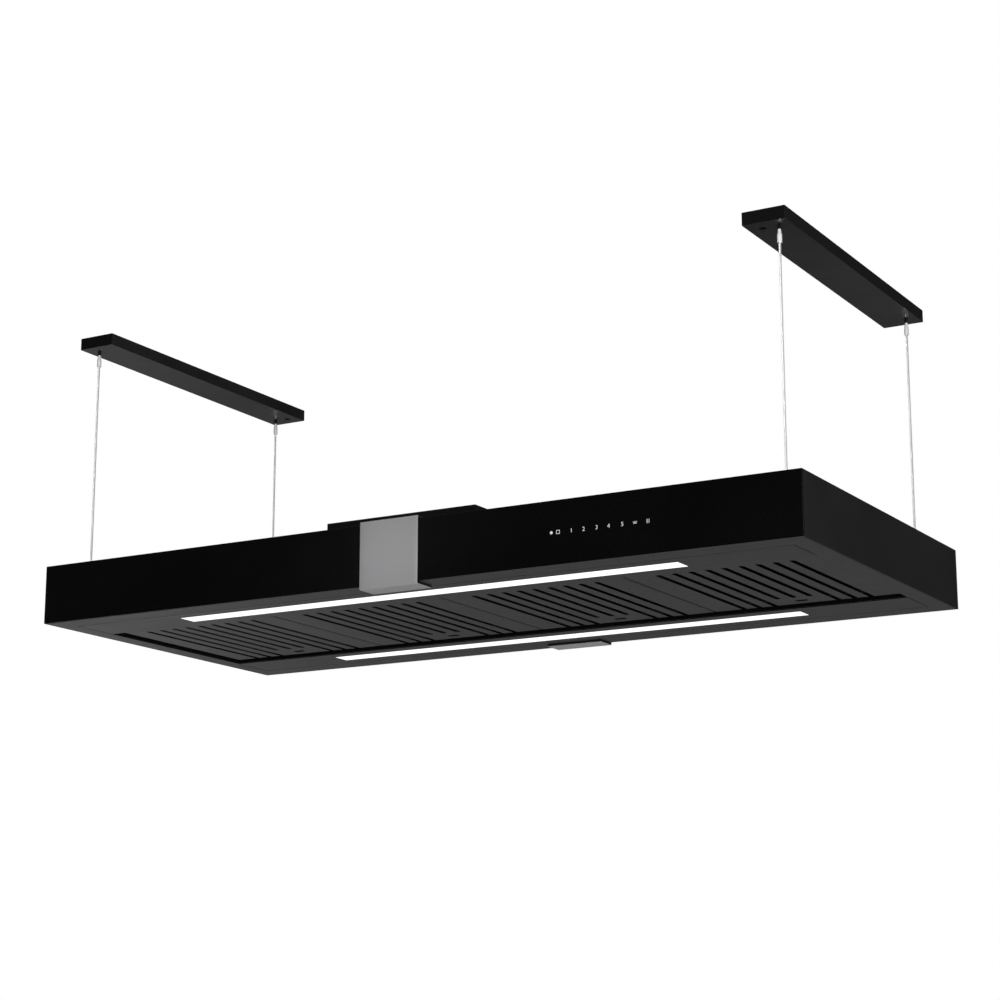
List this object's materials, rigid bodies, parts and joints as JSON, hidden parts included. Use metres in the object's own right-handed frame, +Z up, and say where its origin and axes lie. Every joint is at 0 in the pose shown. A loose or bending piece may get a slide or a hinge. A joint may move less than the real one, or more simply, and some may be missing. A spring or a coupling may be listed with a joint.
{
  "type": "island range hood",
  "caption": "Flat black glass range hood hung on steel wires below ceiling bars, with flush light strips, tilt-down slotted filters and internal fans.",
  "frame": {"origin": "centre of the four ceiling bolt holes, in the ceiling plane that the bars' mounting plates lie against", "axes": "+X along the hood's long side to the right, +Y towards the back, +Z up into the ceiling"},
  "size_m": [1.5, 0.7024, 0.555],
  "materials": {
    "black_glass": "polished black-backed glass",
    "chrome_gripper": "polished",
    "plated_steel": "zinc plated",
    "wire_rope": "stranded stainless",
    "black_nylon": "matt",
    "bar_paint": "fine-textured powder coat",
    "galvanised_steel": "galvanised",
    "case_paint": "fine-textured powder coat",
    "underside_paint": "fine-textured powder coat",
    "light_diffuser": "opal",
    "led_aluminium": "extruded",
    "grey_housing": "moulded",
    "circuit_board": "lacquered",
    "well_paint": "matt",
    "magnet_nickel": "nickel plated",
    "filter_paint": "fine-textured powder coat",
    "filter_baffle": "matt",
    "pull_plastic": "matt",
    "blower_plastic": "moulded",
    "motor_steel": "satin",
    "impeller_plastic": "moulded",
    "cover_paint": "fine-textured powder coat",
    "charcoal": "granular",
    "backing_plastic": "matt",
    "brushed_trim": "brushed along the width"
  },
  "bodies": {
    "hood": {"blower_housing_front": "blower_plastic", "blower_housing_rear": "blower_plastic", "cable_gland": "black_nylon", "catch_magnets": "magnet_nickel", "ceiling_bar_left": "bar_paint", "ceiling_bar_right": "bar_paint", "ceiling_studs": "plated_steel", "charcoal_cassette_front": "charcoal", "charcoal_cassette_rear": "charcoal", "control_box": "grey_housing", "cross_beam_left": "galvanised_steel", "cross_beam_right": "galvanised_steel", "filter_tray": "well_paint", "front_glass": "black_glass", "front_trim": "brushed_trim", "front_trim_backing": "backing_plastic", "hinge_hooks": "plated_steel", "led_board_front": "led_aluminium", "led_board_rear": "led_aluminium", "led_diffuser_front": "light_diffuser", "led_diffuser_rear": "light_diffuser", "led_driver": "grey_housing", "light_panel_front": "underside_paint", "light_panel_rear": "underside_paint", "motor_brackets": "galvanised_steel", "motor_front": "motor_steel", "motor_rear": "motor_steel", "mounting_plate_left": "galvanised_steel", "mounting_plate_right": "galvanised_steel", "outlet_cover": "cover_paint", "rear_glass": "black_glass", "rear_trim": "brushed_trim", "rear_trim_backing": "backing_plastic", "rim_frame": "underside_paint", "side_panel_left": "case_paint", "side_panel_right": "case_paint", "stud_collars": "black_nylon", "top_panel": "case_paint", "touch_board": "circuit_board", "wire_anchors": "plated_steel", "wire_front_left": "wire_rope", "wire_front_right": "wire_rope", "wire_grippers": "chrome_gripper", "wire_rear_left": "wire_rope", "wire_rear_right": "wire_rope"},
    "filter_1": {"filter_face_1": "filter_paint", "filter_core_1": "filter_baffle", "finger_pull_1": "pull_plastic"},
    "filter_2": {"filter_face_2": "filter_paint", "filter_core_2": "filter_baffle", "finger_pull_2": "pull_plastic"},
    "filter_3": {"filter_face_3": "filter_paint", "filter_core_3": "filter_baffle", "finger_pull_3": "pull_plastic"},
    "filter_4": {"filter_face_4": "filter_paint", "filter_core_4": "filter_baffle", "finger_pull_4": "pull_plastic"},
    "fan_front": {"impeller_front": "impeller_plastic"},
    "fan_rear": {"impeller_rear": "impeller_plastic"}
  },
  "joints": [
    {"name": "filter_1_tilt", "type": "hinge", "parent": "hood", "child": "filter_1", "pos_m": [-0.53295, -0.192, -0.543], "axis": [-1, 0, 0], "range_deg": [0, 75]},
    {"name": "filter_2_tilt", "type": "hinge", "parent": "hood", "child": "filter_2", "pos_m": [-0.17765, -0.192, -0.543], "axis": [-1, 0, 0], "range_deg": [0, 75]},
    {"name": "filter_3_tilt", "type": "hinge", "parent": "hood", "child": "filter_3", "pos_m": [0.17765, -0.192, -0.543], "axis": [-1, 0, 0], "range_deg": [0, 75]},
    {"name": "filter_4_tilt", "type": "hinge", "parent": "hood", "child": "filter_4", "pos_m": [0.53295, -0.192, -0.543], "axis": [-1, 0, 0], "range_deg": [0, 75]},
    {"name": "fan_front_spin", "type": "hinge", "parent": "hood", "child": "fan_front", "pos_m": [0, -0.158, -0.487], "axis": [0, 0, 1], "continuous": true},
    {"name": "fan_rear_spin", "type": "hinge", "parent": "hood", "child": "fan_rear", "pos_m": [0, 0.158, -0.487], "axis": [0, 0, 1], "continuous": true}
  ]
}
